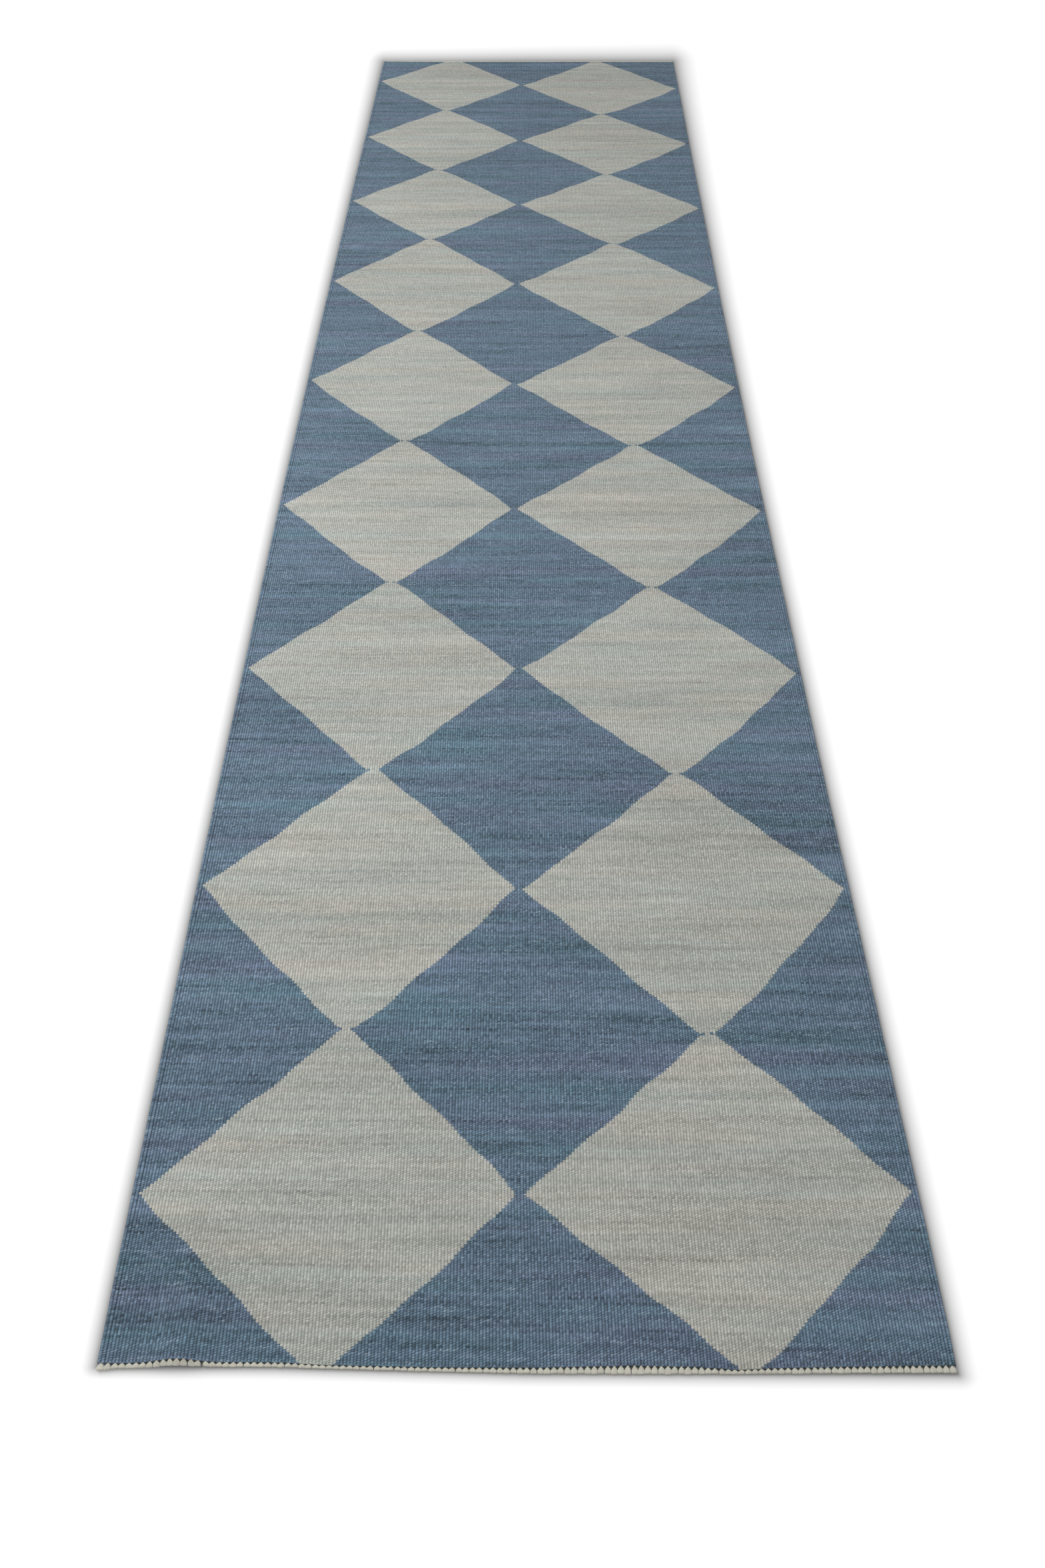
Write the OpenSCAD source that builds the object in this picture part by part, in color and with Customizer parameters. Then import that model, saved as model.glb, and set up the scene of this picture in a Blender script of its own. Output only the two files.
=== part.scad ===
// A flat-woven runner rug: two columns of light diamonds on a blue ground.
// Each coloured area is woven from its own wool yarn, round cotton warps that run the whole length.
// The underside lies on z = 0 with the origin at its centre. X runs across the rug and Y along it,
// from the near end to the far end.

/* [Cloth] */
// Width of the rug, over both edge cords
rug_w = 840; // [640:10:1200]
// Thickness of the woven cloth
cloth_t = 3.4; // [2.8:0.1:5]
// Thickness of the edge cords
selvedge_t = 3.8; // [3:0.1:5]
// Number of warps inside each edge cord
selvedge_warps = 2; // [1:1:4]

/* [Warps] */
// Spacing of the warps across the rug
warp_pitch = 3.3; // [2.6:0.1:5]
// Thickness of one cotton warp
warp_d = 1.2; // [0.8:0.1:1.8]
// Number of warps tied together in each knot
knot_warps = 2; // [2:1:4]
// Width of a knot as a share of the space that it has
knot_fill = 0.85; // [0.6:0.05:0.95]
// Length of the loose warps between the cloth and a knot
stem_l = 1; // [0.4:0.2:12]
// Width of the loose warps where they leave the cloth
stem_w = 3; // [1:0.1:3]

/* [Diamonds] */
// Length of each row of diamonds, from the near end to the far end
row_l = [411, 460, 455, 450, 445, 460, 420, 425, 416]; // [300:5:600]
// Width of the light neck between two diamonds of one column
neck_w = 14.5; // [4:0.5:40]
// Width of the blue gap between the facing points of two columns
gap_w = 9; // [4:0.5:30]
// How far the points of the first and last rows sit towards the ends of the rug
end_tip_shift = [16, 3]; // [0:1:40]

/* [Hand-woven irregularity] */
// Place of the blue gap across the rug, at its near and far ends
gap_x = [-10, -18]; // [-40:1:40]
// Place of the left column's necks across the rug, at its near and far ends
left_neck_x = [-212, -219]; // [-230:1:-190]
// Place of the right column's necks across the rug, at its near and far ends
right_neck_x = [213, 196]; // [180:1:230]
// How far the necks of the left and right columns sit towards the near end
neck_shift = [2, 7]; // [0:1:20]
// Bulge of a diamond's near sides: left outer, left inner, right inner, right outer
near_bulge = [3, 7, 1, 10]; // [-5:1:15]
// Bulge of a diamond's far sides, in the same order
far_bulge = [0, 4, -4, 4]; // [-5:1:15]
// Width of the left and right necks that the near end cuts through
near_neck_w = [31, 22]; // [10:1:80]
// Width of the left and right necks that the far end cuts through
far_neck_w = [52, 24]; // [10:1:80]
// Slant of a row, from the left edge to the right, at the near and far ends
row_slant = [-8, 62]; // [-20:1:80]

/* [Hidden] */
$fn = 24;
light_wool = [0.67, 0.67, 0.64];
blue_wool = [0.39, 0.46, 0.53];
cotton = [0.82, 0.80, 0.74];

left = -1;
right = 1;
inwards = -1;
outwards = 1;
near = -1;
far = 1;
// Shares of a side's length at which it has points, from the tip to the neck
side_steps = [1/8, 1/4, 1/2, 3/4, 7/8];
rows = len(row_l);
fields = rows + 1;

warps = 2 * floor(rug_w / 2 / warp_pitch);
warps_w = warps * warp_pitch;
cloth_w = warps_w - 2 * selvedge_warps * warp_pitch;
warp_z = cloth_t / 2;

knot_pitch = knot_warps * warp_pitch;
knots = floor(warps / knot_warps);
knot_w = knot_fill * knot_pitch;

cloth_l = total(row_l, rows);
near_y = -cloth_l / 2;
far_y = cloth_l / 2;

function total(list, count) = count == 0 ? 0 : list[count - 1] + total(list, count - 1);

// A value that drifts evenly from the near end to the far end
function drift(ends, y) = ends[0] + (ends[1] - ends[0]) * (y - near_y) / cloth_l;

function slanted(x, y) = [x, y - drift(row_slant, y) * x / rug_w];

// Row 0 ends where the first row starts
function row_end_y(row) = near_y + total(row_l, row);

function tip_y(row) =
    (row_end_y(row - 1) + row_end_y(row)) / 2
    + (row == 1 ? -end_tip_shift[0] : row == rows ? end_tip_shift[1] : 0);

function outer_tip(column, row) = slanted(column * cloth_w / 2, tip_y(row));

function inner_tip(column, row) =
    slanted(drift(gap_x, tip_y(row)) + column * gap_w / 2, tip_y(row));

function corner(column, y) = [column * cloth_w / 2, y];

function pick_column(column, values) = values[column == left ? 0 : 1];

function neck_width(column, row) =
    row == 0 ? pick_column(column, near_neck_w)
    : row == rows ? pick_column(column, far_neck_w)
    : neck_w;

// The inner or outer end of the neck after a row
function neck(column, row, facing) =
    let (
        y = row_end_y(row),
        centre_x = drift(column == left ? left_neck_x : right_neck_x, y),
        x = centre_x + column * facing * neck_width(column, row) / 2
    )
    row == 0 || row == rows ? [x, y] : slanted(x, y - pick_column(column, neck_shift));

// The points within one side of a diamond, in order from its tip to its neck
function side(column, row, facing, end) =
    let (
        tip = facing == outwards ? outer_tip(column, row) : inner_tip(column, row),
        run = neck(column, end == near ? row - 1 : row, facing) - tip,
        number = (3 + column * (2 + facing)) / 2,
        bulge = end == near ? near_bulge[number] : far_bulge[number]
    )
    [for (t = side_steps) tip + run * t + [0, end * bulge * (1 - pow(abs(2 * t - 1), 3))]];

function reversed(list) = [for (i = [len(list) - 1 : -1 : 0]) list[i]];

function warp_x(number) = (number + 0.5) * warp_pitch - warps_w / 2;

// Solid cloth with a channel round each warp from first to last, along Y from y_low to y_high
module warped_cloth(first, last, y_low, y_high) {
    translate([0, y_high, 0])
        rotate([90, 0, 0])
            linear_extrude(y_high - y_low)
                difference() {
                    translate([warp_x(first - 0.5), 0])
                        square([(last - first + 1) * warp_pitch, cloth_t]);
                    for (number = [first : last])
                        translate([warp_x(number), warp_z])
                            circle(d = warp_d);
                }
}

// One area of a single yarn, cut from the cloth along its outline
module woven_area(outline) {
    xs = [for (point = outline) point[0]];
    ys = [for (point = outline) point[1]];
    first = floor((min(xs) + warps_w / 2) / warp_pitch);
    last = ceil((max(xs) + warps_w / 2) / warp_pitch) - 1;
    intersection() {
        warped_cloth(first, last, min(ys), max(ys));
        linear_extrude(cloth_t)
            polygon(outline);
    }
}

module light_diamond(column, row) {
    color(light_wool)
        woven_area(concat(
            [inner_tip(column, row)],
            side(column, row, inwards, far),
            [neck(column, row, inwards), neck(column, row, outwards)],
            reversed(side(column, row, outwards, far)),
            [outer_tip(column, row)],
            side(column, row, outwards, near),
            [neck(column, row - 1, outwards), neck(column, row - 1, inwards)],
            reversed(side(column, row, inwards, near))
        ));
}

// The part of a blue centre field's outline on one column's side, from its near tip to its far tip
function centre_side(column, field) = concat(
    field > 1 ? [inner_tip(column, field - 1)] : [],
    field > 1 ? side(column, field - 1, inwards, far) : [],
    [neck(column, field - 1, inwards)],
    field < fields ? reversed(side(column, field, inwards, near)) : [],
    field < fields ? [inner_tip(column, field)] : []
);

module blue_centre_field(field) {
    color(blue_wool)
        woven_area(concat(centre_side(right, field), reversed(centre_side(left, field))));
}

module blue_side_field(column, field) {
    color(blue_wool)
        woven_area(concat(
            [field > 1 ? outer_tip(column, field - 1) : corner(column, near_y)],
            field > 1 ? side(column, field - 1, outwards, far) : [],
            [neck(column, field - 1, outwards)],
            field < fields ? reversed(side(column, field, outwards, near)) : [],
            [field < fields ? outer_tip(column, field) : corner(column, far_y)]
        ));
}

// The edge cord: wool wrapped round the outermost warps, with a half-round outer edge
module selvedge(column) {
    inner_x = cloth_w / 2;
    round_r = selvedge_t / 2;
    round_x = rug_w / 2 - round_r;
    color(blue_wool)
        translate([0, far_y, 0])
            rotate([90, 0, 0])
                linear_extrude(cloth_l)
                    difference() {
                        union() {
                            translate([min(column * inner_x, column * round_x), 0])
                                square([round_x - inner_x, selvedge_t]);
                            translate([column * round_x, round_r])
                                circle(r = round_r);
                        }
                        for (number = [0 : selvedge_warps - 1])
                            translate([-column * warp_x(number), warp_z])
                                circle(d = warp_d);
                    }
}

module cotton_warps() {
    color(cotton)
        for (number = [0 : warps - 1])
            translate([warp_x(number), far_y, warp_z])
                rotate([90, 0, 0])
                    cylinder(h = cloth_l, d = warp_d);
}

// A tied bundle of warp ends: narrow at the cloth and round at its tip, pointing along +Y
module warp_knot() {
    linear_extrude(cloth_t) {
        polygon([
            [-stem_w / 2, 0],
            [stem_w / 2, 0],
            [knot_w / 2, stem_l + knot_w / 2],
            [-knot_w / 2, stem_l + knot_w / 2]
        ]);
        translate([0, stem_l + knot_w / 2])
            circle(d = knot_w);
    }
}

module knot_row() {
    color(cotton)
        for (number = [0 : knots - 1])
            translate([(number + 0.5 - knots / 2) * knot_pitch, far_y, 0])
                warp_knot();
}

for (row = [1 : rows]) {
    light_diamond(left, row);
    light_diamond(right, row);
}
for (field = [1 : fields]) {
    blue_side_field(left, field);
    blue_centre_field(field);
    blue_side_field(right, field);
}
selvedge(left);  // selvedge_left
selvedge(right);  // selvedge_right
cotton_warps();
rotate(180) knot_row();  // near_warp_knots
knot_row();  // far_warp_knots
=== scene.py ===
"""A flat-woven wool runner: each yarn area, edge cord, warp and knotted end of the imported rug, in metres."""

import math
from bisect import bisect_left, bisect_right

import bpy
import numpy as np
from mathutils import Euler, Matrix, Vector


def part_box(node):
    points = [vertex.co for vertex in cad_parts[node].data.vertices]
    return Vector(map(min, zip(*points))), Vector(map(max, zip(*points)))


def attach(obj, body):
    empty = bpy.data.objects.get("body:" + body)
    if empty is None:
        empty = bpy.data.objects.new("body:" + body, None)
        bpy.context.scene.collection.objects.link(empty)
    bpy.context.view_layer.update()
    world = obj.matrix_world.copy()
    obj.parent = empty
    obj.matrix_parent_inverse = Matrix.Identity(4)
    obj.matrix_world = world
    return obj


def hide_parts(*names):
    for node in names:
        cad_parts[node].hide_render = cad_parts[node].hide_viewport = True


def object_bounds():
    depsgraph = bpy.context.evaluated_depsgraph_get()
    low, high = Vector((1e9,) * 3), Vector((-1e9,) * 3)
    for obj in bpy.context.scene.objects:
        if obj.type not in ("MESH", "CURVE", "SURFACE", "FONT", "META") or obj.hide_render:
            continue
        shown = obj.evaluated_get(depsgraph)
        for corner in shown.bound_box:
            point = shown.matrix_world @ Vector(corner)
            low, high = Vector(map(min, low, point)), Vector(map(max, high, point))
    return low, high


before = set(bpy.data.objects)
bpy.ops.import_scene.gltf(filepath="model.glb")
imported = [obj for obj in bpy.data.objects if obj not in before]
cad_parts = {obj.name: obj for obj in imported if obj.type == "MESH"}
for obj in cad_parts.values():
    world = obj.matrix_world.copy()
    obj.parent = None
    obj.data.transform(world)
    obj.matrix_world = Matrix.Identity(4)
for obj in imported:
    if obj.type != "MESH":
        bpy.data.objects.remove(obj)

CAD_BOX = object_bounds()
MM = 0.001

# The cloth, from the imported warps: they run from one end of the cloth to the other, through its middle.
WARPS = 254
WARPS_PER_KNOT = 2
EDGE_WARPS = 2
WARP_LOW, WARP_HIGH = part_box("cotton_warps")
WARP_D = WARP_HIGH.z - WARP_LOW.z
PITCH = (WARP_HIGH.x - WARP_LOW.x - WARP_D) / (WARPS - 1)
FIRST_X = WARP_LOW.x + WARP_D / 2 - PITCH / 2
NEAR_Y, FAR_Y = WARP_LOW.y, WARP_HIGH.y
MID_Z = (WARP_LOW.z + WARP_HIGH.z) / 2
RUG_LOW, RUG_HIGH = CAD_BOX
KNOT_LENGTH = NEAR_Y - RUG_LOW.y

# Rows of weft. A pick is one pass of the weft, and the mesh has a row every few picks.
PICK_WANTED = 1.35 * MM
PICKS = round((FAR_Y - NEAR_Y) / PICK_WANTED)
PICK = (FAR_Y - NEAR_Y) / PICKS
PICKS_PER_ROW = 12
# How far the places where the weft turns back stray, and how fast that changes, in radians per metre
TURN_WANDER = 3.2 * MM
TURN_RATES = (61, 23), (23, -41)
# The blue picks that make a neck between two diamonds narrower, before and after its middle
NECK_PICKS = 1, 2
NARROWEST_NECK = 3

# Across a rib the mesh has four steps on top and two underneath. A rib is higher than the valleys beside it.
QUARTERS = 4
TOP_STEP, BOTTOM_STEP = 1, 2
TOP, BOTTOM = 1, -1
RIB_DEPTH = 0.40 * MM
# A valley also gets painted shade, this much at its deepest.
VALLEY_SHADE = 0.25
# How the ribs swell and stray: how much, and how fast that changes, in radians per rib and per pick
SWELL, SWELL_RATES = 0.05, ((2.1, 0.071), (0.77, -0.031))
STRAY, STRAY_RATES = 0.16 * MM, ((1.7, 0.043), (0.31, -0.019))
# Past each end of the rug the cloth drops to a thin lip between the knots, painted dark as their shadow: how
# far out, how thick, how much painted shade.
LIP_STEPS = [0, 1, 2]
LIP_OUT = [0, 0.4 * MM, 3.6 * MM]
LIP_THICKNESS = [1, 0.5, 0.2]
LIP_SHADE = [0.1, 2.2, 2.6]
LIP_SHADE_FROM = -0.5
# The cloth's ends reach further out between two knots than at a knot, which fades within a few picks.
SCALLOP, SCALLOP_FADE = 0.6 * MM, 0.8
SHARP_ANGLE = math.radians(60)

WOOL_AREAS = sorted(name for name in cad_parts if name.startswith(("light_diamond", "blue_field")))


# ---------------------------------------------------------------- how the rug lies

# The bow and sway of the whole rug, how much wider it lies, and how its near end is pulled in and aside
BOW = 9 * MM
SWAY, SWAY_RATE, SWAY_START = 1.9 * MM, 2.6, 0.3
WIDER_MIDDLE, WIDER_NEAR = 1.0 * MM, 2.3 * MM
NEAR_PULLED_IN, PULL_REACH = 1.5 * MM, 80 * MM
NEAR_ASIDE, ASIDE_REACH = 1 * MM, 120 * MM
# The low ripple beside the near left corner
RIPPLE_LIFT = 9 * MM
RIPPLE_FROM_EDGE = 76 * MM
RIPPLE_HALF_WIDTH = 24 * MM
RIPPLE_REACH = 95 * MM
# The uneven near end, at places across the rug: how far the cloth and the knots reach past a straight line
NEAR_PLACES = [
    -0.42, -0.40, -0.345, -0.28, -0.24, -0.20, -0.15, -0.10, 0.0, 0.10, 0.16, 0.20, 0.24, 0.30, 0.39,
]
NEAR_CLOTH_MM = [3.5, 3.7, 2.7, 1.7, 2.2, 4.7, 5.5, 6.7, 6.7, 4.2, 5.5, 8.5, 6.5, 5.2, 3.7]
NEAR_KNOTS_MM = [12.0, 8.8, 7.2, 6.5, 6.8, 8.2, 9.5, 10.7, 12.6, 13.0, 12.8, 12.5, 12.0, 11.7, 11.0]
# The pattern's middle strays to the right in the near half: how far, at shares of the length from -1 to 1.
MIDDLE_PLACES = [-1, -0.9, -0.675, -0.44, -0.2, 0, 0.2]
MIDDLE_RIGHT_MM = [7, 4.5, 6.5, 8, 0, -1.5, 0]
# The edge cords' low waves, and how much lower the knots' tips lie than the cloth on the ripple
EDGE_WAVE, EDGE_WAVE_RATE, EDGE_WAVE_POWER = 0.7 * MM, 8.3, 6
KNOT_DROOP = 0.55


def sideways(along):
    """How far the middle of the rug strays to the left, for a share of its length from -1 to 1."""
    return BOW * (1 - along**2) - SWAY * np.sin(SWAY_RATE * (along - SWAY_START))


def lay(x, y, z):
    """Where a point of the flat rug goes when the rug lies on the floor, slightly bowed and rippled."""
    along = 2 * (y - NEAR_Y) / (FAR_Y - NEAR_Y) - 1
    past_end = np.maximum((NEAR_Y - y) / KNOT_LENGTH, 0)
    from_end = np.maximum(y - NEAR_Y, 0)
    from_edge = x - RUG_LOW.x
    ripple = np.exp(-(((from_edge - RIPPLE_FROM_EDGE) / RIPPLE_HALF_WIDTH) ** 2))
    ripple *= np.exp(-((from_end / RIPPLE_REACH) ** 2)) * (1 - KNOT_DROOP * past_end)
    cloth_out = np.interp(x, NEAR_PLACES, NEAR_CLOTH_MM) * MM
    knots_out = np.interp(x, NEAR_PLACES, NEAR_KNOTS_MM) * MM
    longer = past_end * (knots_out - cloth_out - KNOT_LENGTH)
    across = x / RUG_HIGH.x
    edge = np.abs(across) ** EDGE_WAVE_POWER
    wave = EDGE_WAVE * edge * (1 + np.sin(y * EDGE_WAVE_RATE + np.sign(x)))
    wider = WIDER_MIDDLE - WIDER_NEAR * along - NEAR_PULLED_IN * np.exp(-from_end / PULL_REACH)
    dx = wider * across - sideways(along) - NEAR_ASIDE * np.exp(-from_end / ASIDE_REACH)
    middle_right = np.interp(along, MIDDLE_PLACES, MIDDLE_RIGHT_MM) * MM
    dx += middle_right * np.maximum(1 - across**2, 0)
    dy = cloth_out * np.exp(-from_end / RIPPLE_REACH) + longer
    return x + dx, y - dy, z + RIPPLE_LIFT * ripple + wave


# ---------------------------------------------------------------- meshes

def waves(a, b, rates):
    """A smooth wandering between -1 and 1 over a and b."""
    (a_first, b_first), (a_second, b_second) = rates
    return np.sin(a * a_first + b * b_first) * np.sin(a * a_second + b * b_second)


def new_piece(name, points, faces, weave, material, node):
    """A mesh piece that stands for a CAD node. weave holds what the materials read at each point."""
    mesh = bpy.data.meshes.new(name)
    mesh.from_pydata(points.tolist(), [], faces)
    attribute = mesh.attributes.new("weave", "FLOAT_VECTOR", "POINT")
    attribute.data.foreach_set("vector", np.ascontiguousarray(weave, np.float32).ravel())
    mesh.polygons.foreach_set("use_smooth", [True] * len(mesh.polygons))
    mesh.set_sharp_from_angle(angle=SHARP_ANGLE)
    mesh.materials.append(material)
    piece = bpy.data.objects.new(name, mesh)
    bpy.context.scene.collection.objects.link(piece)
    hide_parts(node)
    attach(piece, "root")
    return piece


def outline_edges(node):
    """The edges of a CAD area seen from above, as arrays of their two ends."""
    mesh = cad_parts[node].data
    points = np.zeros(len(mesh.vertices) * 3)
    mesh.vertices.foreach_get("co", points)
    ends = np.zeros(len(mesh.edges) * 2, int)
    mesh.edges.foreach_get("vertices", ends)
    flat = points.reshape(-1, 3)[:, :2]
    return flat[ends.reshape(-1, 2)]


def crossing(edges, x):
    """The lowest and highest y of an area on the line at x, or None where the line misses it."""
    (ax, ay), (bx, by) = edges[:, 0].T, edges[:, 1].T
    if not ax.min() <= x <= ax.max():
        return None
    hit = ((ax - x) * (bx - x) <= 0) & (ax != bx)
    if not hit.any():
        return None
    y = ay[hit] + (by - ay)[hit] * (x - ax[hit]) / (bx - ax)[hit]
    return y.min(), y.max()


def rib_spans(outlines):
    """For each area, the first and last pick of each rib in it. The areas on a rib follow each other."""
    spans = {name: {} for name in outlines}
    necks = {}
    for rib in range(EDGE_WARPS, WARPS - EDGE_WARPS):
        x = FIRST_X + (rib + 0.5) * PITCH
        on_rib = [(crossing(edges, x), name) for name, edges in outlines.items()]
        on_rib = sorted((sum(ends), ends, name) for ends, name in on_rib if ends)
        turns = [(a[1][1] + b[1][0]) / 2 for a, b in zip(on_rib, on_rib[1:])]
        turns = [y + TURN_WANDER * waves(x, y, TURN_RATES) for y in turns]
        picks = [0] + [min(max(round((y - NEAR_Y) / PICK), 0), PICKS) for y in turns] + [PICKS]
        for (_, _, name), first, last in zip(on_rib, picks, picks[1:]):
            if last > first:
                spans[name][rib] = (first, last)
        for (_, _, before), (_, _, after), turn in zip(on_rib, on_rib[1:], picks[1:]):
            if before.startswith("light") and after.startswith("light"):
                necks.setdefault((before, after), {})[rib] = turn
    for (before, after), turns in necks.items():
        if len(turns) > NARROWEST_NECK:
            for rib, outward in ((min(turns), -1), (max(turns), 1)):
                tighten(spans, before, after, rib, rib + outward, turns[rib])
    return spans


def tighten(spans, before, after, rib, next_rib, turn):
    """Gives a rib at the side of a neck a few picks of the blue area beside it, between the two diamonds."""
    low, high = turn - NECK_PICKS[0], turn + NECK_PICKS[1]
    beside = [name for name, ribs in spans.items() if name.startswith("blue") and next_rib in ribs]
    beside = [name for name in beside if spans[name][next_rib][0] < high and low < spans[name][next_rib][1]]
    if beside:
        spans[before][rib] = (spans[before][rib][0], low)
        spans[beside[0]][rib] = (low, high)
        spans[after][rib] = (high, spans[after][rib][1])


def rib_rows(first, last):
    """The picks at which a rib has vertices, with a thin lip past each end of the rug."""
    near_lip = [-step for step in LIP_STEPS] if first == 0 else []
    far_lip = [PICKS + step for step in LIP_STEPS] if last == PICKS else []
    within = [p for p in range(0, PICKS, PICKS_PER_ROW) if first + 1 < p < last - 1]
    return sorted({first, last, *within, *near_lip, *far_lip})


def weave_points(keys):
    """Places the vertices of a woven area. keys are (quarter rib, pick, side)."""
    column, pick, side = (np.array(k, float) for k in zip(*keys))
    rib = column / QUARTERS
    past = np.maximum(-pick, pick - PICKS)
    hollow = 1 - np.sin(np.pi * (rib % 1))
    half = MID_Z - RIB_DEPTH * hollow
    half *= 1 + SWELL * waves(rib, pick, SWELL_RATES)
    thin = np.interp(past, LIP_STEPS, LIP_THICKNESS)
    low = MID_Z - np.minimum(half, MID_Z)
    z = np.where(side == TOP, low + 2 * half * thin, low)
    x = FIRST_X + rib * PITCH
    rest_y = NEAR_Y + np.clip(pick, 0, PICKS) * PICK
    outward = np.where(pick < PICKS / 2, -1, 1)
    scallop = SCALLOP * np.cos(np.pi * rib) * np.exp(-SCALLOP_FADE * np.abs(past))
    y = rest_y + outward * (scallop + np.interp(past, LIP_STEPS, LIP_OUT))
    # The shade is painted: in the valleys between ribs, and on the lip past each end dark enough to stand for
    # the shadow in the hollows between the knots.
    shade = VALLEY_SHADE * hollow + np.interp(past, LIP_STEPS, LIP_SHADE) * (past > LIP_SHADE_FROM)
    weave = np.stack([x, rest_y, shade], 1)
    x = x + STRAY * waves(rib, pick, STRAY_RATES)
    return np.stack(lay(x, y, z), 1), weave


def woven_area(name, spans, material):
    """One area of a single yarn, rib by rib: each rib ends where its weft turns back."""
    rows = {rib: rib_rows(*span) for rib, span in spans.items()}
    ribs = sorted(rows)
    valleys = {}
    for valley in range(ribs[0], ribs[-1] + 2):
        valleys[valley] = sorted(set(rows.get(valley - 1, ())) | set(rows.get(valley, ())))
    index = {}
    faces = []

    def vertex(column, pick, side):
        return index.setdefault((column, pick, side), len(index))

    def chain(column, low, high):
        if column % QUARTERS:
            return (low, high)
        picks = valleys[column // QUARTERS]
        return picks[bisect_left(picks, low):bisect_right(picks, high)]

    def covers(rib, low, high):
        return rib in rows and rows[rib][0] <= low and high <= rows[rib][-1]

    for rib in ribs:
        left, right = rib * QUARTERS, (rib + 1) * QUARTERS
        for low, high in zip(rows[rib], rows[rib][1:]):
            for side, step in ((TOP, TOP_STEP), (BOTTOM, BOTTOM_STEP)):
                for column in range(left, right, step):
                    loop = [vertex(column + step, p, side) for p in chain(column + step, low, high)]
                    loop += [vertex(column, p, side) for p in reversed(chain(column, low, high))]
                    faces.append(loop if side == TOP else loop[::-1])
        for pick, turn in ((rows[rib][0], 1), (rows[rib][-1], -1)):
            wall = [vertex(column, pick, BOTTOM) for column in range(left, right + 1, BOTTOM_STEP)]
            wall += [vertex(column, pick, TOP) for column in range(right, left - 1, -1)]
            faces.append(wall[::turn])
    for valley, picks in valleys.items():
        for low, high in zip(picks, picks[1:]):
            before, after = covers(valley - 1, low, high), covers(valley, low, high)
            if before != after:
                column = valley * QUARTERS
                corners = (low, BOTTOM), (high, BOTTOM), (high, TOP), (low, TOP)
                wall = [vertex(column, pick, side) for pick, side in corners]
                faces.append(wall if before else wall[::-1])

    points, weave = weave_points(list(index))
    piece = new_piece(name + "_weft", points, faces, weave, material, name)
    low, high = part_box(name)


def swept(count, sides):
    """Faces that join a number of rings of points, each ring turning the same way, and close both ends."""
    faces = []
    for ring in range(count - 1):
        for side in range(sides):
            a, b = ring * sides + side, ring * sides + (side + 1) % sides
            faces.append((a, b, b + sides, a + sides))
    faces.append(tuple(range(sides))[::-1])
    faces.append(tuple(range((count - 1) * sides, count * sides)))
    return faces


# ---------------------------------------------------------------- materials

# The colour sockets of a mix node, which has others of the same names
MIX_A, MIX_B, MIX_RESULT = 6, 7, 2


def node_tools(material):
    """Short helpers that add nodes to a material."""
    tree = material.node_tree

    def add(kind, **settings):
        node = tree.nodes.new(kind)
        for key, value in settings.items():
            setattr(node, key, value)
        return node

    def put(socket, value):
        if isinstance(value, bpy.types.NodeSocket):
            tree.links.new(value, socket)
        else:
            socket.default_value = value

    def op(operation, *values):
        node = add("ShaderNodeMath", operation=operation)
        for socket, value in zip(node.inputs, values):
            put(socket, value)
        return node.outputs[0]

    def combine(x, y, z=0.0):
        node = add("ShaderNodeCombineXYZ")
        for socket, value in zip(node.inputs, (x, y, z)):
            put(socket, value)
        return node.outputs[0]

    def noise(vector, scale=1.0, detail=2.0, roughness=0.5):
        node = add("ShaderNodeTexNoise", noise_dimensions="3D")
        put(node.inputs["Vector"], vector)
        node.inputs["Scale"].default_value = scale
        node.inputs["Detail"].default_value = detail
        node.inputs["Roughness"].default_value = roughness
        return node.outputs["Fac"]

    def remap(value, low, high, to_low, to_high):
        node = add("ShaderNodeMapRange")
        for socket, given in zip(node.inputs, (value, low, high, to_low, to_high)):
            put(socket, given)
        return node.outputs[0]

    def mix(factor, a, b, blend="MIX"):
        node = add("ShaderNodeMix", data_type="RGBA", blend_type=blend)
        put(node.inputs["Factor"], factor)
        put(node.inputs[MIX_A], a)
        put(node.inputs[MIX_B], b)
        return node.outputs[MIX_RESULT]

    return add, put, op, combine, noise, remap, mix


# A bead of weft leans, and strays along its rib with a noise. Both are in beads.
BEAD = 2 * PICK
BEAD_LEAN, BEAD_STRAY = 0.3, 1.4
# The relief, as shares of its height: how far a plain rib falls to its sides, and a bead across and along. It
# gives the bump and also the painted shade and light in the colour.
CROWN_FALL = 0.78
DOME_ACROSS, DOME_ALONG = 0.82, 0.8
RELIEF_POWER = 1.3
FIBRE_RELIEF = 0.5
# Noises in the wool: changes per metre across and along the rug, a place of its own, detail and roughness
SWELL_NOISE = 80.0, 140.0, 1.0, 2.0, 0.5
BEADINESS_NOISE = 3.0, 38.0, 3.0, 3.0, 0.5
FIBRE_NOISE = 1100.0, 2300.0, 0.0, 4.0, 0.65
DRIFT_NOISE = 1.3, 11.0, 7.0, 2.0, 0.5
STREAK_NOISE = 3.4, 62.0, 9.0, 4.0, 0.62
PASS_NOISE = 14.0, 600.0, 5.0, 2.0, 0.5
DARK_PASS_NOISE = 2.4, 600.0, 21.0, 1.0, 0.5
HUE_NOISE = 2.6, 27.0, 13.0, 3.0, 0.5
SLUB_NOISE = 30.0, 260.0, 17.0, 3.0, 0.5
# Where a noise counts as low and as high
NOISE_LOW, NOISE_HIGH = 0.3, 0.7
HUE_LOW, HUE_HIGH = 0.34, 0.66
BEADLESS, BEADED = 0.36, 0.58
DARK_FROM, DARK_FULL = 0.60, 0.70
SLUB_FROM, SLUB_FULL = 0.54, 0.70
# The share of their beads that the plainest places still show
LEAST_BEADED = 0.4
# How much each noise lightens and darkens a yarn, in units of its contrast
DRIFT_TONE, STREAK_TONE, PASS_TONE, GRAIN_TONE = 1.0, 1.9, 1.8, 1.8
# How much the fibres do so in every yarn, and the share of its brightness that a full painted shade leaves
FIBRE_TONE = 0.15
SHADE_TONE = 0.62
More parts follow.
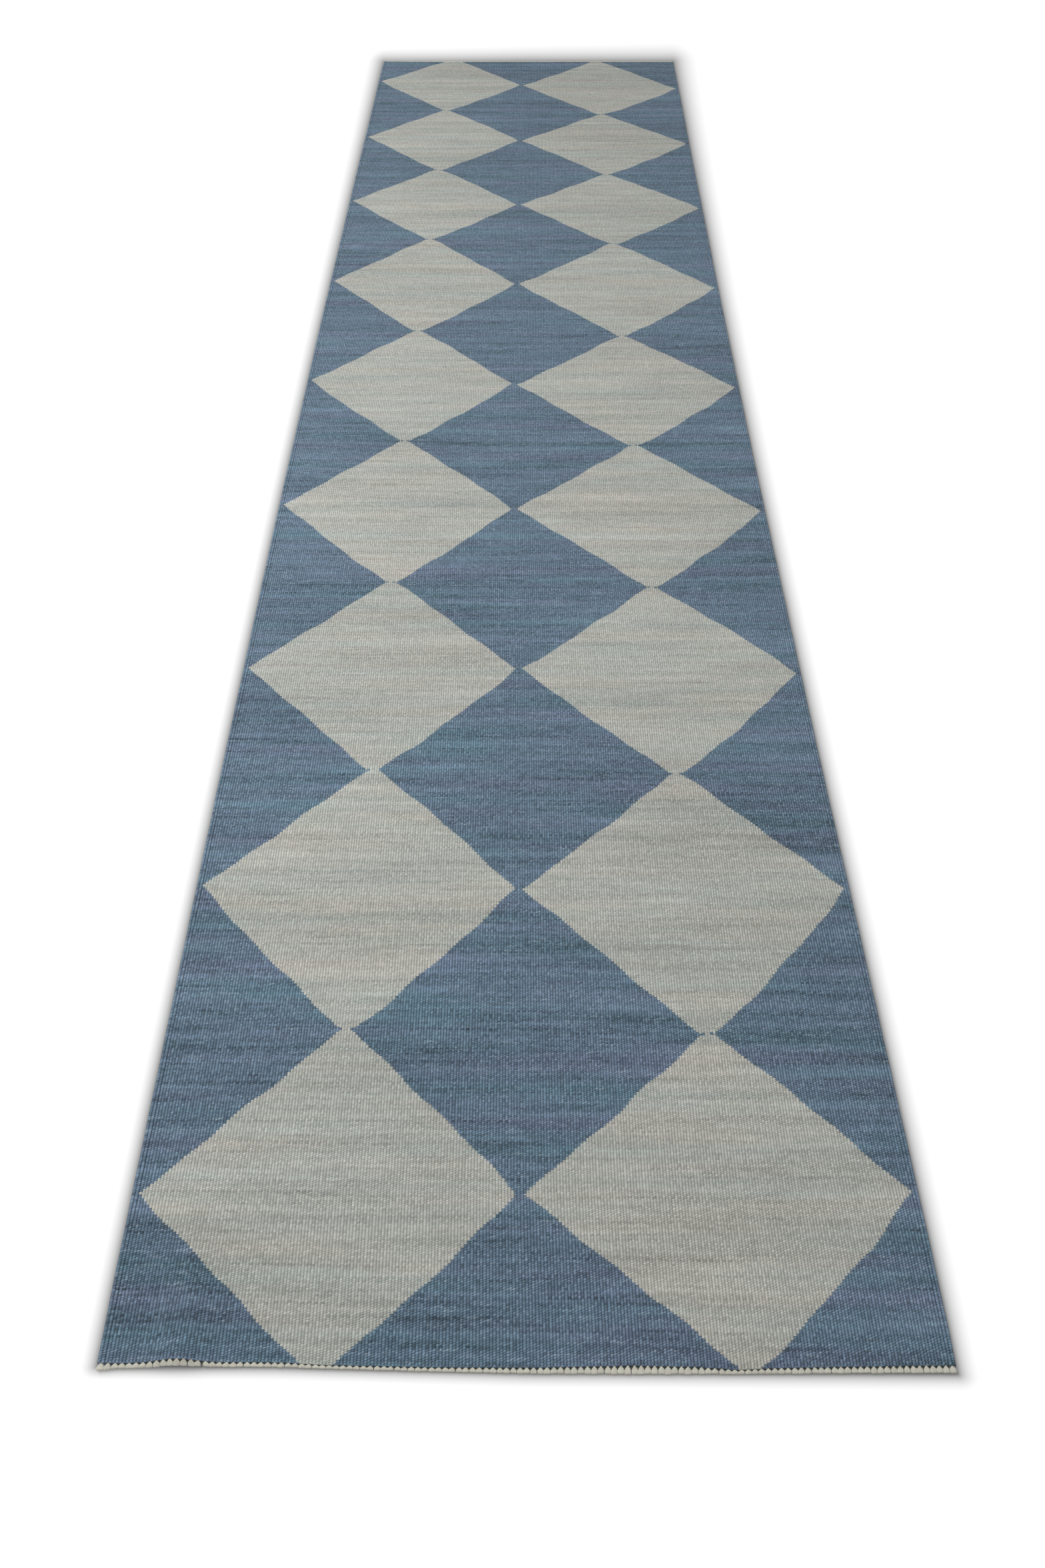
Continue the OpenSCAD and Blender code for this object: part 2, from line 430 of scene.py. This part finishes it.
# How much of a yarn's base colour and of its pale slubs is mixed in; the slubs sit on the bead tops, so they
# are also painted highlights
BASE_SHARE = 0.4
SLUB_AND_HIGHLIGHT_SHARE = 0.75
# The painted shadow colour that the lip past each end of the rug fades to, between these two shades
HOLLOW_SHADOW = (0.085, 0.095, 0.083, 1)
HOLLOW_FROM, HOLLOW_FULL = 1.0, 2.0


def new_material(name):
    material = bpy.data.materials.new(name)
    material.use_nodes = True
    material.node_tree.nodes.clear()
    return material


def wool(name, base, cool, warm, pale, contrast, valley, crest):
    """Hand-spun wool in a weft-faced weave: ribs of slanted beads, streaks across the rug and pale slubs, with
    painted shade in the valleys and gaps and painted light and highlights on the bead tops.
    """
    material = new_material(name)
    add, put, op, combine, noise, remap, mix = node_tools(material)
    place = add("ShaderNodeSeparateXYZ")
    put(place.inputs[0], add("ShaderNodeAttribute", attribute_name="weave").outputs["Vector"])
    x, y, shade = place.outputs

    def woven_noise(settings, along_y=y):
        per_metre_x, per_metre_y, own_place, detail, roughness = settings
        at = combine(op("MULTIPLY", x, per_metre_x), op("MULTIPLY", along_y, per_metre_y), own_place)
        return noise(at, detail=detail, roughness=roughness)

    def vary(value, amount):
        return remap(value, NOISE_LOW, NOISE_HIGH, -amount, amount)

    # The beads: each is one pass of weft over a warp.
    rib = op("DIVIDE", op("SUBTRACT", x, FIRST_X), PITCH)
    number = op("FLOOR", rib)
    across = op("SUBTRACT", op("MULTIPLY", op("FRACT", rib), 2.0), 1.0)
    swell = woven_noise(SWELL_NOISE)
    half_step = op("MULTIPLY", op("MODULO", number, 2.0), 0.5)
    bead = op("ADD", op("DIVIDE", y, BEAD), half_step)
    bead = op("SUBTRACT", bead, op("MULTIPLY", across, BEAD_LEAN / 2))
    bead = op("ADD", bead, op("MULTIPLY", swell, BEAD_STRAY))
    along = op("SUBTRACT", op("MULTIPLY", op("FRACT", bead), 2.0), 1.0)
    grain = add("ShaderNodeTexWhiteNoise", noise_dimensions="2D")
    put(grain.inputs["Vector"], combine(number, op("FLOOR", bead)))
    grain = grain.outputs["Value"]
    pass_y = op("MULTIPLY", op("SUBTRACT", op("FLOOR", bead), half_step), BEAD)
    across_2, along_2 = op("MULTIPLY", across, across), op("MULTIPLY", along, along)
    crown = op("SUBTRACT", 1.0, op("MULTIPLY", across_2, CROWN_FALL))
    fall = op("ADD", op("MULTIPLY", across_2, DOME_ACROSS), op("MULTIPLY", along_2, DOME_ALONG))
    dome = op("SQRT", op("MAXIMUM", op("SUBTRACT", 1.0, fall), 0.0))
    beadiness = remap(woven_noise(BEADINESS_NOISE), BEADLESS, BEADED, LEAST_BEADED, 1.0)
    plain = op("MULTIPLY", crown, op("SUBTRACT", 1.0, beadiness))
    relief = op("POWER", op("ADD", op("MULTIPLY", dome, beadiness), plain), RELIEF_POWER)
    fibre = woven_noise(FIBRE_NOISE)

    # The colour: slow drifts of dye, streaks a few picks high, and single passes that are lighter or darker;
    # painted shade and light are added below.
    drift = woven_noise(DRIFT_NOISE)
    streak = woven_noise(STREAK_NOISE)
    one_pass = woven_noise(PASS_NOISE, along_y=pass_y)
    dark_pass = woven_noise(DARK_PASS_NOISE, along_y=pass_y)
    hue = woven_noise(HUE_NOISE)
    colour = mix(remap(hue, HUE_LOW, HUE_HIGH, 0.0, 1.0), cool, warm)
    colour = mix(BASE_SHARE, colour, base)
    tone = op("ADD", vary(drift, DRIFT_TONE), vary(streak, STREAK_TONE))
    tone = op("ADD", tone, vary(one_pass, PASS_TONE))
    tone = op("ADD", tone, remap(dark_pass, DARK_FROM, DARK_FULL, 0.0, -PASS_TONE))
    tone = op("ADD", tone, remap(grain, 0.0, 1.0, -GRAIN_TONE, GRAIN_TONE))
    tone = op("MULTIPLY", tone, contrast)
    tone = op("ADD", tone, vary(fibre, FIBRE_TONE))
    # Painted shade in the rib valleys and between beads, and painted light on the bead tops: the colour
    # follows the relief from valley to crest.
    tone = op("MULTIPLY", op("ADD", tone, 1.0), remap(relief, 0.0, 1.0, valley, crest))
    # Painted shade from the mesh: rib valleys, cord grooves and creases, and the lip past each end.
    tone = op("MULTIPLY", tone, remap(shade, 0.0, 1.0, 1.0, SHADE_TONE))
    colour = mix(1.0, colour, combine(tone, tone, tone), "MULTIPLY")
    # Pale slubs of the yarn, kept to the bead tops, so they are partly painted highlights.
    slub_and_highlight = remap(woven_noise(SLUB_NOISE), SLUB_FROM, SLUB_FULL, 0.0, 1.0)
    slub_and_highlight = op("MULTIPLY", op("MULTIPLY", slub_and_highlight, beadiness), op("MULTIPLY", dome, grain))
    colour = mix(op("MULTIPLY", slub_and_highlight, SLUB_AND_HIGHLIGHT_SHARE), colour, pale)
    # The lip past each end is painted in the shadow colour of the hollows between the knots.
    colour = mix(remap(shade, HOLLOW_FROM, HOLLOW_FULL, 0.0, 1.0), colour, HOLLOW_SHADOW)

    bump = add("ShaderNodeBump")
    bump.inputs["Strength"].default_value = 0.9
    bump.inputs["Distance"].default_value = 0.6 * MM
    put(bump.inputs["Height"], op("ADD", relief, op("MULTIPLY", fibre, FIBRE_RELIEF)))
    shader = add("ShaderNodeBsdfPrincipled")
    put(shader.inputs["Base Color"], colour)
    put(shader.inputs["Roughness"], remap(fibre, 0.0, 1.0, 0.82, 1.0))
    put(shader.inputs["Normal"], bump.outputs[0])
    shader.inputs["Specular IOR Level"].default_value = 0.12
    shader.inputs["Sheen Weight"].default_value = 0.06
    shader.inputs["Sheen Roughness"].default_value = 0.6
    put(add("ShaderNodeOutputMaterial").inputs["Surface"], shader.outputs[0])
    return material


# The plies wind round a strand: how many there are, how many pass in a metre, and how much they show as
# painted shade in the colour and as bump
PLIES, PLIES_PER_METRE = 5.0, 420.0
PLY_TONE, PLY_RELIEF = 0.05, 0.5
COTTON_FIBRE_TONE = 0.12
COTTON_SHADE = 0.6
DEEP_LOW, DEEP_HIGH = 0.35, 0.65


def cotton_yarn(name, base, deep):
    """Plied cotton: weave holds the turn round the strand, the place along it and the painted shade."""
    material = new_material(name)
    add, put, op, combine, noise, remap, mix = node_tools(material)
    place = add("ShaderNodeSeparateXYZ")
    put(place.inputs[0], add("ShaderNodeAttribute", attribute_name="weave").outputs["Vector"])
    turn, along, shade = place.outputs
    ply_turn = op("ADD", op("MULTIPLY", turn, PLIES), op("MULTIPLY", along, PLIES_PER_METRE))
    ply = op("SINE", op("MULTIPLY", ply_turn, 2 * math.pi))
    object_place = add("ShaderNodeTexCoord").outputs["Object"]
    fibre = noise(object_place, scale=1600.0, detail=4.0, roughness=0.6)
    spread = noise(object_place, scale=170.0, detail=2.0)
    colour = mix(remap(spread, DEEP_LOW, DEEP_HIGH, 0.0, 1.0), base, deep)
    fibre_tone = remap(fibre, NOISE_LOW, NOISE_HIGH, -COTTON_FIBRE_TONE, COTTON_FIBRE_TONE)
    # Painted shade between the plies and painted light on them, with the fibres' own random tone.
    tone = op("ADD", 1.0, op("ADD", fibre_tone, op("MULTIPLY", ply, PLY_TONE)))
    # Painted shade close to the cloth and under each knot.
    tone = op("SUBTRACT", tone, op("MULTIPLY", shade, COTTON_SHADE))
    colour = mix(1.0, colour, combine(tone, tone, tone), "MULTIPLY")
    bump = add("ShaderNodeBump")
    bump.inputs["Strength"].default_value = 0.6
    bump.inputs["Distance"].default_value = 0.3 * MM
    put(bump.inputs["Height"], op("ADD", op("MULTIPLY", ply, PLY_RELIEF), fibre))
    shader = add("ShaderNodeBsdfPrincipled")
    put(shader.inputs["Base Color"], colour)
    put(shader.inputs["Normal"], bump.outputs[0])
    shader.inputs["Roughness"].default_value = 0.9
    shader.inputs["Specular IOR Level"].default_value = 0.2
    shader.inputs["Sheen Weight"].default_value = 0.1
    put(add("ShaderNodeOutputMaterial").inputs["Surface"], shader.outputs[0])
    return material


# ---------------------------------------------------------------- edge cords, warps and knots

# The wraps of an edge cord. Their slant across it and their slow drift along it are in wraps.
WRAP = 2 * PICK
WRAP_ROWS = 4
WRAP_SLANT, WRAP_DRIFT, WRAP_DRIFT_RATE = 0.6, 0.3, 37
# The grooves between wraps: their depth, the share of the width at which they reach it, and their painted
# shade
GROOVE, GROOVE_FULL, GROOVE_SHADE = 0.10, 0.25, 0.3
# The cord strays sideways a little, and it has painted shade beside the cloth and between its two warps.
CORD_STRAY, CORD_STRAY_RATE = 0.15 * MM, 61
SEAM_PLACES, SEAM_SHADE = (0.0, 0.5), 0.2
# Round an edge cord, from its inner side outwards and back underneath: shares of its width and height
CORD_PROFILE = [
    (0.0, 0.78), (0.12, 0.93), (0.26, 1.0), (0.40, 0.94), (0.50, 0.84), (0.60, 0.95), (0.74, 1.0),
    (0.88, 0.88), (0.97, 0.68), (1.0, 0.48), (0.97, 0.28), (0.88, 0.1), (0.74, 0.0), (0.50, 0.13),
    (0.26, 0.0), (0.0, 0.2),
]


def edge_cord(side_name, outward, material):
    """Two warps wrapped together: the wraps show as small slanted swellings along the edge."""
    low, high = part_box("selvedge_" + side_name)
    width, height = high.x - low.x, high.z - low.z
    inner_x = low.x if outward > 0 else high.x
    rows = WRAP_ROWS * round((high.y - low.y) / WRAP)
    across, up = np.array(CORD_PROFILE).T
    y, across = np.meshgrid(np.linspace(low.y, high.y, rows + 1), across, indexing="ij")
    wraps = y / WRAP + WRAP_SLANT * across + WRAP_DRIFT * np.sin(y * WRAP_DRIFT_RATE)
    depth = (1 - np.abs(np.sin(np.pi * wraps))) * np.minimum(1, across / GROOVE_FULL)
    groove = 1 - GROOVE * depth
    x = inner_x + outward * width * across * (1 + groove) / 2
    x += CORD_STRAY * np.sin(y * CORD_STRAY_RATE) * across
    z = height / 2 + height * (up - 0.5) * groove
    points = np.stack(lay(x.ravel(), y.ravel(), z.ravel()), 1)
    rib = EDGE_WARPS * (1 - across) if outward < 0 else WARPS - EDGE_WARPS * (1 - across)
    # Painted shade in the grooves between wraps, beside the cloth and between the two warps.
    shade = GROOVE_SHADE * depth + SEAM_SHADE * np.isin(across, SEAM_PLACES)
    weave = np.stack([FIRST_X + rib * PITCH, y, shade], 2).reshape(-1, 3)
    faces = swept(rows + 1, len(CORD_PROFILE))
    if outward < 0:
        faces = [face[::-1] for face in faces]
    node = "selvedge_" + side_name
    new_piece(node + "_cord", points, faces, weave, material, node)


# A warp's sides, the distance between its rings of points, and how far it reaches past the cloth
STRAND_SIDES = 6
STRAND_STEP, STRAND_REACH = 80 * MM, 0.3 * MM


def warp_strands(material):
    """The warps, inside the cloth from knot to knot."""
    stations = round((FAR_Y - NEAR_Y) / STRAND_STEP) + 1
    along = np.linspace(NEAR_Y - STRAND_REACH, FAR_Y + STRAND_REACH, stations)
    turns = np.arange(STRAND_SIDES) / STRAND_SIDES
    y, turn = (grid.ravel() for grid in np.meshgrid(along, turns, indexing="ij"))
    angle = 2 * np.pi * turn
    strand_faces = [face[::-1] for face in swept(stations, STRAND_SIDES)]
    points, weave, faces = [], [], []
    for warp in range(WARPS):
        x = FIRST_X + (warp + 0.5) * PITCH + WARP_D / 2 * np.cos(angle)
        z = MID_Z + WARP_D / 2 * np.sin(angle)
        points.append(np.stack(lay(x, y, z), 1))
        weave.append(np.stack([turn, y, np.zeros_like(y)], 1))
        faces += [tuple(warp * y.size + i for i in face) for face in strand_faces]
    new_piece("warp_strands", np.vstack(points), faces, np.vstack(weave), material, "cotton_warps")


KNOTS = WARPS // WARPS_PER_KNOT
KNOT_SIDES = 16
# Where a knot has rings of points, as shares of its length from the cloth to its cut end
KNOT_RINGS = np.append(np.linspace(0, 0.86, 9), (0.93, 0.975, 1))
# How far a knot starts inside the cloth
KNOT_INSET = 1.2 * MM
# A knot's half width and half height: narrow at the cloth, then wider. A power below 1 makes it squarer.
KNOT_NARROW, KNOT_WIDE = 0.75 * MM, 3.38 * MM
KNOT_HALF_HEIGHT = 1.35 * MM
KNOT_WIDENS_OVER = 0.5 * KNOT_LENGTH
SQUARE_POWER = 0.5
# The blunt end: from where and over what share of the length it rounds off, and its least squared width
TIP_FROM, TIP_OVER, TIP_CUT = 0.95, 0.055, 0.6
KNOT_LOBES, LOBE_DEPTH, LOBE_TWIST = 5, 0.05, 3
KNOT_RAISED, KNOT_LOWEST = 0.15 * MM, 0.02 * MM
# What differs from knot to knot
FATNESS = 0.95, 1.04
SHORTER = 0.7 * MM
TWIST = 1.2
LOBE_START = 6
LEAN, LEAN_POWER = 0.4 * MM, 1.5
# A knot that leans away from the one before it, at the near end
OPEN_GAP_KNOT = 15
OPEN_GAP_LEANS = -1.2 * MM, 1.5 * MM
# A knot has painted shade close to the cloth and underneath.
ROOT_SHADE, ROOT_FADE = 0.5, 2
UNDER_SHADE, UNDER_FROM = 0.35, -0.3


def knot_row(name, node, end, seed, material):
    """Tied warp ends: each bundle is narrow where it leaves the cloth and swells to a blunt cut end."""
    rng = np.random.default_rng(seed)
    s, turn = np.meshgrid(KNOT_RINGS, np.arange(KNOT_SIDES) / KNOT_SIDES, indexing="ij")
    angle = 2 * np.pi * turn
    round_x = np.sign(np.cos(angle)) * np.abs(np.cos(angle)) ** SQUARE_POWER
    round_z = np.sign(np.sin(angle)) * np.abs(np.sin(angle)) ** SQUARE_POWER
    tip = np.sqrt(np.clip(1 - (np.maximum(s - TIP_FROM, 0) / TIP_OVER) ** 2, TIP_CUT, 1))
    # Painted shade close to the cloth and underneath.
    shade = np.clip(ROOT_SHADE - ROOT_FADE * s, 0, 1) + UNDER_SHADE * (np.sin(angle) < UNDER_FROM)
    knot_faces = swept(KNOT_RINGS.size, KNOT_SIDES)
    if end > 0:
        knot_faces = [face[::-1] for face in knot_faces]
    leans = rng.normal(0, LEAN, KNOTS)
    if end < 0:
        leans[OPEN_GAP_KNOT - 1:OPEN_GAP_KNOT + 1] = OPEN_GAP_LEANS
    points, weave, faces = [], [], []
    for knot in range(KNOTS):
        centre_x = FIRST_X + (knot + 0.5) * WARPS_PER_KNOT * PITCH
        widest = KNOT_WIDE * rng.uniform(*FATNESS)
        length = KNOT_LENGTH + KNOT_INSET - rng.uniform(0, SHORTER)
        distance = s * length - KNOT_INSET
        swell = np.clip(distance / KNOT_WIDENS_OVER, 0, 1)
        half_w = (KNOT_NARROW + (widest - KNOT_NARROW) * swell) * tip
        half_h = (KNOT_NARROW + (KNOT_HALF_HEIGHT - KNOT_NARROW) * swell) * tip
        twist = LOBE_TWIST * rng.uniform(-TWIST, TWIST) * s
        lobe_angle = KNOT_LOBES * angle + twist + rng.uniform(0, LOBE_START)
        lobes = 1 + LOBE_DEPTH * swell * np.cos(lobe_angle)
        x = centre_x + leans[knot] * s**LEAN_POWER + half_w * round_x * lobes
        y = (NEAR_Y if end < 0 else FAR_Y) + end * distance
        z = np.maximum(MID_Z + KNOT_RAISED + half_h * round_z * lobes, KNOT_LOWEST)
        points.append(np.stack(lay(x.ravel(), y.ravel(), z.ravel()), 1))
        weave.append(np.stack([turn, distance, shade], 2).reshape(-1, 3))
        faces += [tuple(knot * s.size + i for i in face) for face in knot_faces]
    new_piece(name, np.vstack(points), faces, np.vstack(weave), material, node)


# ---------------------------------------------------------------- the room

# The floor has a painted shadow close to the rug: how dark, and how far that reaches at the sides and at each
# end.
SHADOW_DARK = 0.79
SHADOW_MIDDLE, SHADOW_GROWTH = 27 * MM, 7.0 * MM
SHADOW_NEAR, SHADOW_FAR = 11 * MM, 105 * MM
# At the ends it starts just past the knots, and on the left just under them.
SHADOW_FROM_LEFT, SHADOW_FROM = -1.8 * MM, 4 * MM
LEFT_X, MIDDLE_X = -0.25, 0.0
FLOOR_HALF, FLOOR_Z = 30.0, -0.2 * MM
FLOOR_WHITE, FLOOR_SHADOW_BLACK = (0.86, 0.86, 0.86, 1), (0.0, 0.0, 0.0, 1)
FLOOR_GLOW = 0.5


def floor_material():
    """White floor with a soft painted shadow close to the rug."""
    material = new_material("studio_floor")
    add, put, op, combine, _, remap, mix = node_tools(material)
    place = add("ShaderNodeSeparateXYZ")
    put(place.inputs[0], add("ShaderNodeTexCoord").outputs["Object"])
    x, y, _ = place.outputs
    along = op("DIVIDE", y, FAR_Y)
    bow = op("MULTIPLY", op("SUBTRACT", 1.0, op("MULTIPLY", along, along)), BOW)
    sway = op("SINE", op("MULTIPLY", op("SUBTRACT", along, SWAY_START), SWAY_RATE))
    sway = op("MULTIPLY", sway, SWAY)
    from_end = op("MAXIMUM", op("SUBTRACT", y, NEAR_Y), 0.0)
    aside = op("MULTIPLY", op("EXPONENT", op("DIVIDE", from_end, -ASIDE_REACH)), NEAR_ASIDE)
    pulled_in = op("MULTIPLY", op("EXPONENT", op("DIVIDE", from_end, -PULL_REACH)), NEAR_PULLED_IN)
    from_middle = op("ABSOLUTE", op("ADD", x, op("ADD", op("SUBTRACT", bow, sway), aside)))
    half_width = op("SUBTRACT", RUG_HIGH.x + WIDER_MIDDLE, op("MULTIPLY", along, WIDER_NEAR))
    half_width = op("SUBTRACT", half_width, pulled_in)
    off_x = op("MAXIMUM", op("SUBTRACT", from_middle, half_width), 0.0)
    end_y = remap(x, LEFT_X, MIDDLE_X, RUG_HIGH.y + SHADOW_FROM_LEFT, RUG_HIGH.y + SHADOW_FROM)
    off_y = op("MAXIMUM", op("SUBTRACT", op("ABSOLUTE", y), end_y), 0.0)
    side_reach = op("ADD", op("MULTIPLY", y, SHADOW_GROWTH), SHADOW_MIDDLE)
    far_half = op("GREATER_THAN", y, 0.0)
    end_reach = op("ADD", op("MULTIPLY", far_half, SHADOW_FAR - SHADOW_NEAR), SHADOW_NEAR)
    off_x, off_y = op("DIVIDE", off_x, side_reach), op("DIVIDE", off_y, end_reach)
    away = op("SQRT", op("ADD", op("MULTIPLY", off_x, off_x), op("MULTIPLY", off_y, off_y)))
    shadow = op("MULTIPLY", op("EXPONENT", op("MULTIPLY", away, -1.0)), SHADOW_DARK)
    # The painted shadow darkens both the floor's colour and its glow.
    grey = op("SUBTRACT", 1.0, shadow)
    shader = add("ShaderNodeBsdfPrincipled")
    put(shader.inputs["Base Color"], mix(shadow, FLOOR_WHITE, FLOOR_SHADOW_BLACK))
    put(shader.inputs["Emission Color"], combine(grey, grey, grey))
    shader.inputs["Emission Strength"].default_value = FLOOR_GLOW
    shader.inputs["Roughness"].default_value = 1.0
    shader.inputs["Specular IOR Level"].default_value = 0.0
    put(add("ShaderNodeOutputMaterial").inputs["Surface"], shader.outputs[0])
    return material


def add_floor():
    mesh = bpy.data.meshes.new("studio_floor")
    signs = (-1, -1), (1, -1), (1, 1), (-1, 1)
    corners = [(x * FLOOR_HALF, y * FLOOR_HALF, FLOOR_Z) for x, y in signs]
    mesh.from_pydata(corners, [], [(0, 1, 2, 3)])
    mesh.materials.append(floor_material())
    floor = bpy.data.objects.new("studio_floor", mesh)
    bpy.context.scene.collection.objects.link(floor)


def add_softbox(name, place, aim, size, power):
    light = bpy.data.lights.new(name, "AREA")
    light.shape = "RECTANGLE"
    light.size, light.size_y = size
    light.energy = power
    box = bpy.data.objects.new(name, light)
    box.location = place
    box.visible_camera = False
    box.rotation_euler = (Vector(aim) - Vector(place)).to_track_quat("-Z", "Y").to_euler()
    bpy.context.scene.collection.objects.link(box)


def add_camera():
    """The viewer stands just off the near end and looks down along the rug."""
    height, behind, aside = 1.432, 0.7184, -0.002
    pitch, yaw, roll = 42.37, 0.174, 0.022
    data = bpy.data.cameras.new("camera")
    data.lens, data.sensor_width = 35, 36
    camera = bpy.data.objects.new("camera", data)
    camera.location = (aside, RUG_LOW.y - behind, height)
    tilt = Euler((math.radians(90 - pitch), 0, math.radians(yaw))).to_matrix()
    camera.rotation_euler = (tilt @ Euler((0, 0, math.radians(-roll))).to_matrix()).to_euler()
    bpy.context.scene.collection.objects.link(camera)
    bpy.context.scene.camera = camera


def add_light():
    scene = bpy.context.scene
    scene.view_settings.view_transform = "Standard"
    world = bpy.data.worlds.new("studio")
    world.use_nodes = True
    background = world.node_tree.nodes["Background"]
    background.inputs["Color"].default_value = (1, 1, 1, 1)
    background.inputs["Strength"].default_value = 0.5
    scene.world = world
    add_softbox("key_softbox", place=(-1.6, 0.45, 1.8), aim=(0, 1.05, 0), size=(5.4, 1.6), power=70)


# ---------------------------------------------------------------- assembly

add_camera()
add_light()
add_floor()

# valley and crest: how dark the colour is painted in the rib valleys and bead gaps, and how light on the bead
# tops.
BLUE = wool(
    "blue_wool",
    base=(0.117, 0.174, 0.234, 1),
    cool=(0.097, 0.174, 0.218, 1),
    warm=(0.136, 0.167, 0.246, 1),
    pale=(0.36, 0.45, 0.52, 1),
    contrast=0.13,
    valley=0.44,
    crest=1.40,
)
LIGHT = wool(
    "light_wool",
    base=(0.418, 0.422, 0.389, 1),
    cool=(0.380, 0.420, 0.390, 1),
    warm=(0.447, 0.430, 0.385, 1),
    pale=(0.62, 0.62, 0.58, 1),
    contrast=0.07,
    valley=0.76,
    crest=1.21,
)
COTTON = cotton_yarn("cotton_yarn", base=(0.60, 0.592, 0.505, 1), deep=(0.53, 0.515, 0.445, 1))

outlines = {name: outline_edges(name) for name in WOOL_AREAS}
for name, spans in rib_spans(outlines).items():
    is_light = name.startswith("light")
    woven_area(name, spans, LIGHT if is_light else BLUE)
edge_cord("left", outward=-1, material=BLUE)
edge_cord("right", outward=1, material=BLUE)
warp_strands(COTTON)
knot_row("near_knots", "near_warp_knots", end=-1, seed=5, material=COTTON)
knot_row("far_knots", "far_warp_knots", end=1, seed=8, material=COTTON)
